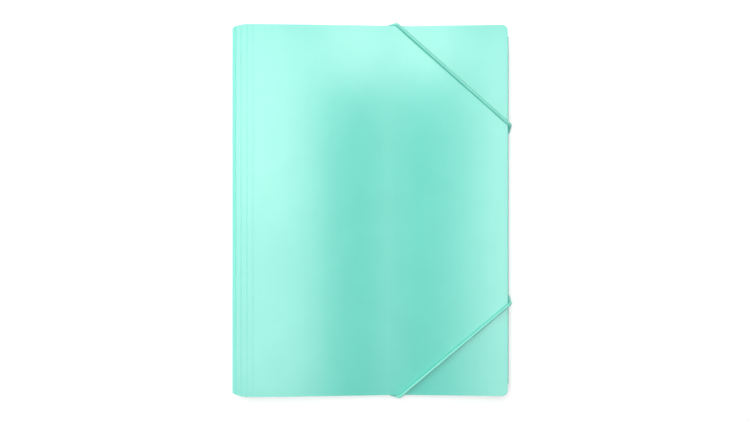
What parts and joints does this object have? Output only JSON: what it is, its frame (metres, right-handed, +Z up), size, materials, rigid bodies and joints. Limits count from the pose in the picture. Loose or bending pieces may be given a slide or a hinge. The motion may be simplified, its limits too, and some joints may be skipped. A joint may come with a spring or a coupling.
{
  "type": "elastic folder",
  "caption": "Closed A4 document folder of springy plastic sheet with a creased spine, inner flaps and round elastic cords across the corners of the fore edge.",
  "frame": {"origin": "centre of the closed folder's box at the level of the surface that it lies on, the cords' outermost turns included", "axes": "+Z up out of the front cover, +X from the spine to the fore edge, +Y towards the folder's top edge"},
  "size_m": [0.2416, 0.3256, 0.0135],
  "materials": {
    "sheet": "satin",
    "cord": "matte",
    "clip": "satin"
  },
  "bodies": {
    "back": {"back_panel": "sheet", "upper_elastic": "cord", "lower_elastic": "cord", "upper_fore_clip": "clip", "upper_end_clip": "clip", "lower_fore_clip": "clip", "lower_end_clip": "clip"},
    "gusset_lower": {"gusset_lower": "sheet"},
    "gusset_middle": {"gusset_middle": "sheet"},
    "gusset_upper": {"gusset_upper": "sheet"},
    "front_cover": {"front_cover": "sheet"}
  },
  "joints": [
    {"name": "back_crease", "type": "hinge", "parent": "back", "child": "gusset_lower", "pos_m": [-0.11691, 0, 0.00025], "axis": [0, -1, 0], "range_deg": [0, 45], "deforming": ["upper_elastic", "lower_elastic"]},
    {"name": "lower_spine_crease", "type": "hinge", "parent": "gusset_lower", "child": "gusset_middle", "pos_m": [-0.12055, 0, 0.00389], "axis": [0, -1, 0], "range_deg": [0, 45]},
    {"name": "upper_spine_crease", "type": "hinge", "parent": "gusset_middle", "child": "gusset_upper", "pos_m": [-0.12055, 0, 0.00904], "axis": [0, -1, 0], "range_deg": [0, 45]},
    {"name": "cover_crease", "type": "hinge", "parent": "gusset_upper", "child": "front_cover", "pos_m": [-0.11691, 0, 0.01268], "axis": [0, -1, 0], "range_deg": [0, 45]}
  ],
  "couplings": [
    {"joint": "lower_spine_crease", "follows": "back_crease", "ratio": 1},
    {"joint": "upper_spine_crease", "follows": "back_crease", "ratio": 1},
    {"joint": "cover_crease", "follows": "back_crease", "ratio": 1}
  ]
}
